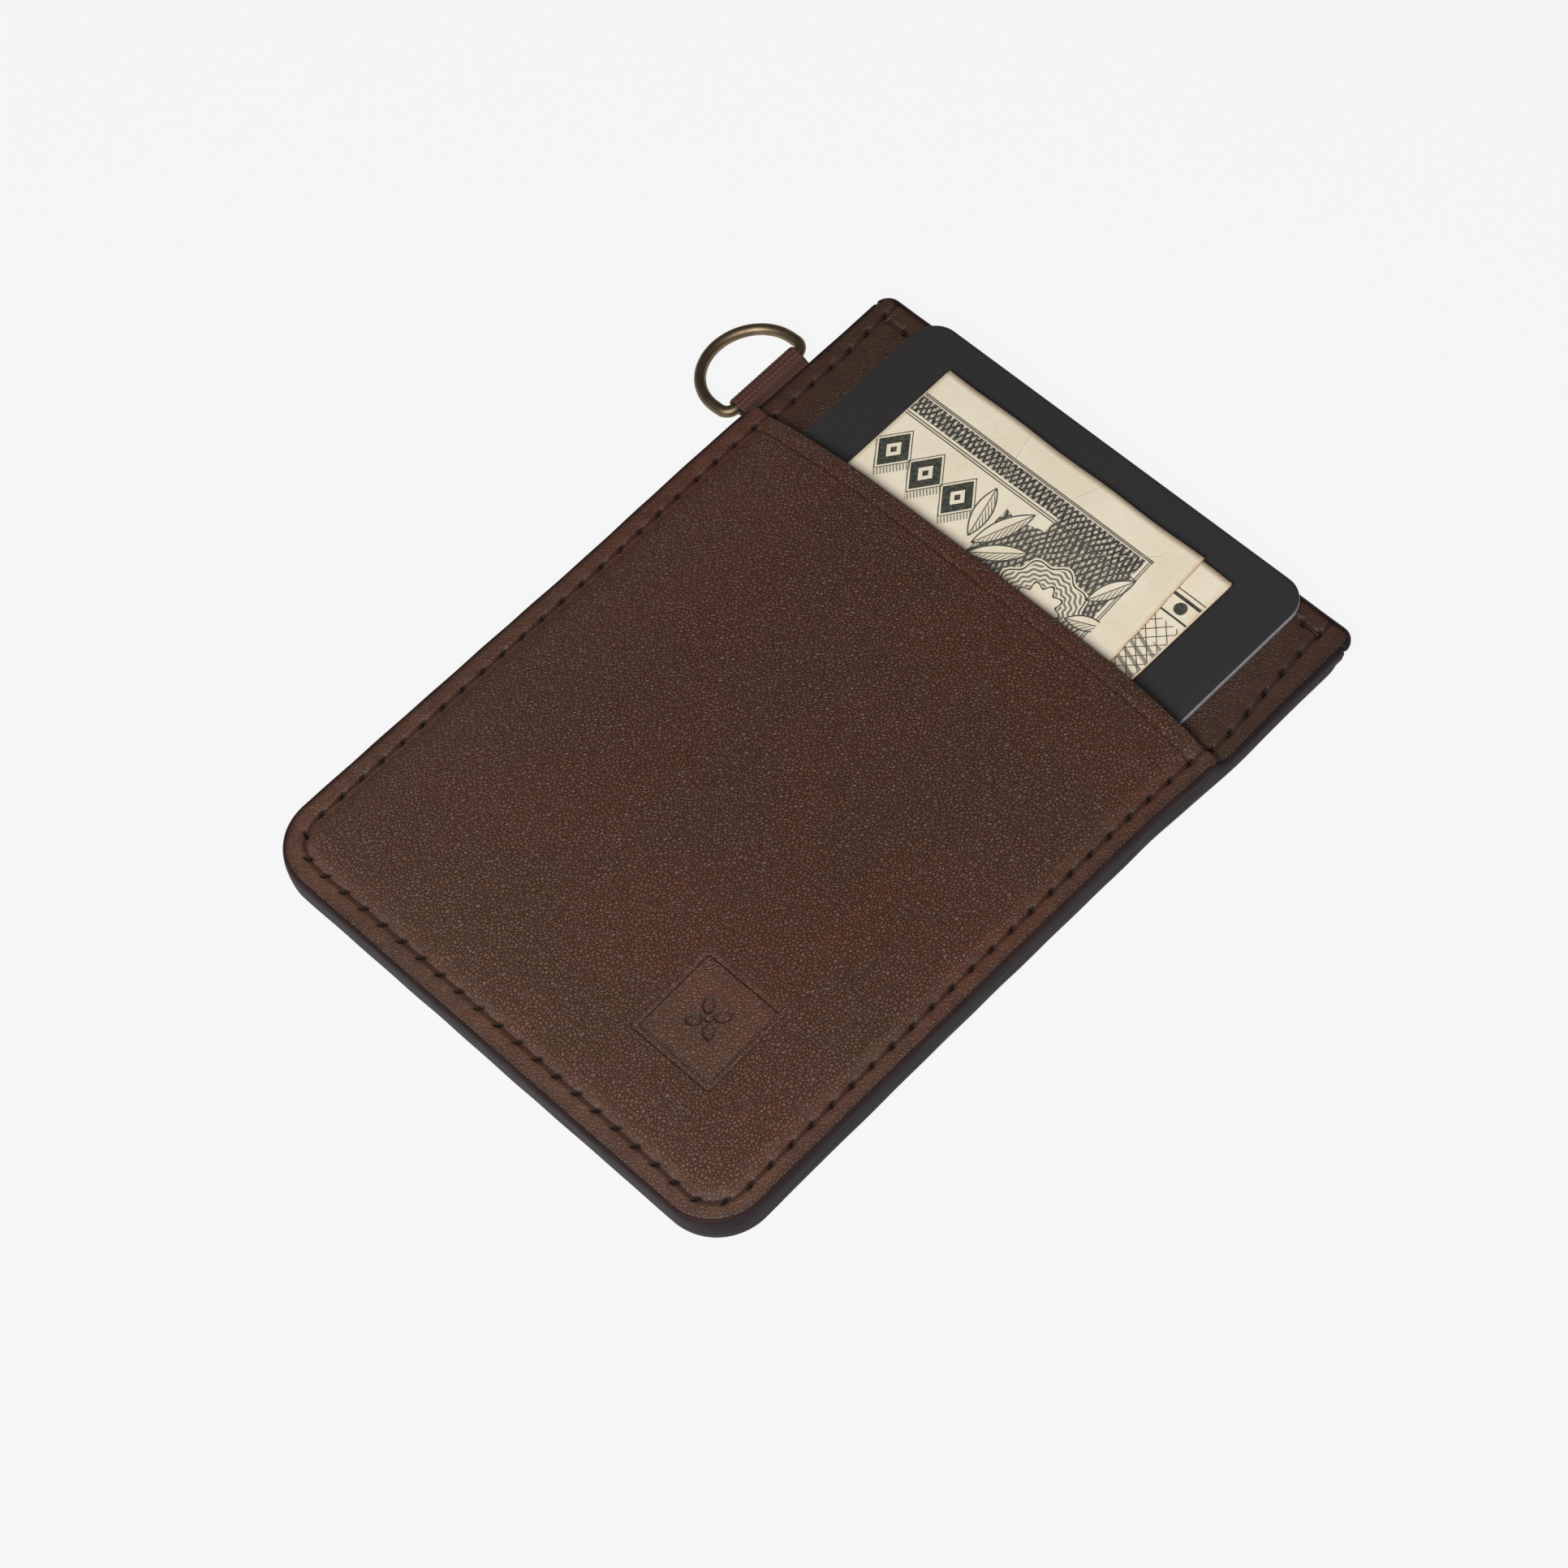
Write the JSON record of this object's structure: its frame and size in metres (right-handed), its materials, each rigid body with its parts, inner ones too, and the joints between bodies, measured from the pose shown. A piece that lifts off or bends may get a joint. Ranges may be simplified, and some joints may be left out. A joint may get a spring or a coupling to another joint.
{
  "type": "minimalist wallet",
  "caption": "Slim leather front-pocket wallet with a turned pocket lip, holding a plastic card and a folded paper note, with a brass D-ring on a webbing tab.",
  "frame": {"origin": "middle of the flat back face", "axes": "+X across the wallet, away from the D-ring; +Y up the wallet, towards the pocket opening; +Z out of the front face"},
  "size_m": [0.0777, 0.092, 0.0062],
  "materials": {
    "leather": "matte oiled, fine pebble grain",
    "lining": "plain woven",
    "edge_paint": "satin, rounded coat",
    "thread": "waxed twisted thread",
    "card_plastic": "fine matte, pale core at the edge",
    "note_paper": "uncoated cotton paper with printed linework",
    "webbing": "ribbed grosgrain",
    "antique_brass": "antiqued, dark in the recesses"
  },
  "bodies": {
    "wallet_body": {"back_main_panel": "leather", "back_lining": "lining", "front_lining": "lining", "front_main_panel": "leather", "front_pocket_panel": "leather", "side_edge_paint": "edge_paint", "front_top_edge_paint": "edge_paint", "back_top_edge_paint": "edge_paint", "needle_thread": "thread", "bobbin_thread": "thread", "front_top_thread": "thread", "back_top_thread": "thread", "ring_tab": "webbing"},
    "card": {"charcoal_card": "card_plastic"},
    "note": {"folded_banknote": "note_paper"},
    "ring": {"d_ring": "antique_brass"}
  },
  "joints": [
    {"name": "card_slide", "type": "slide", "parent": "wallet_body", "child": "card", "axis": [0, 1, 0], "range_m": [0, 0.065]},
    {"name": "note_slide", "type": "slide", "parent": "wallet_body", "child": "note", "axis": [0, 1, 0], "range_m": [-0.01, 0.05]},
    {"name": "ring_swing", "type": "hinge", "parent": "wallet_body", "child": "ring", "pos_m": [-0.03575, 0.0296, 0.00145], "axis": [0, 1, 0], "range_deg": [-125, 120]}
  ]
}
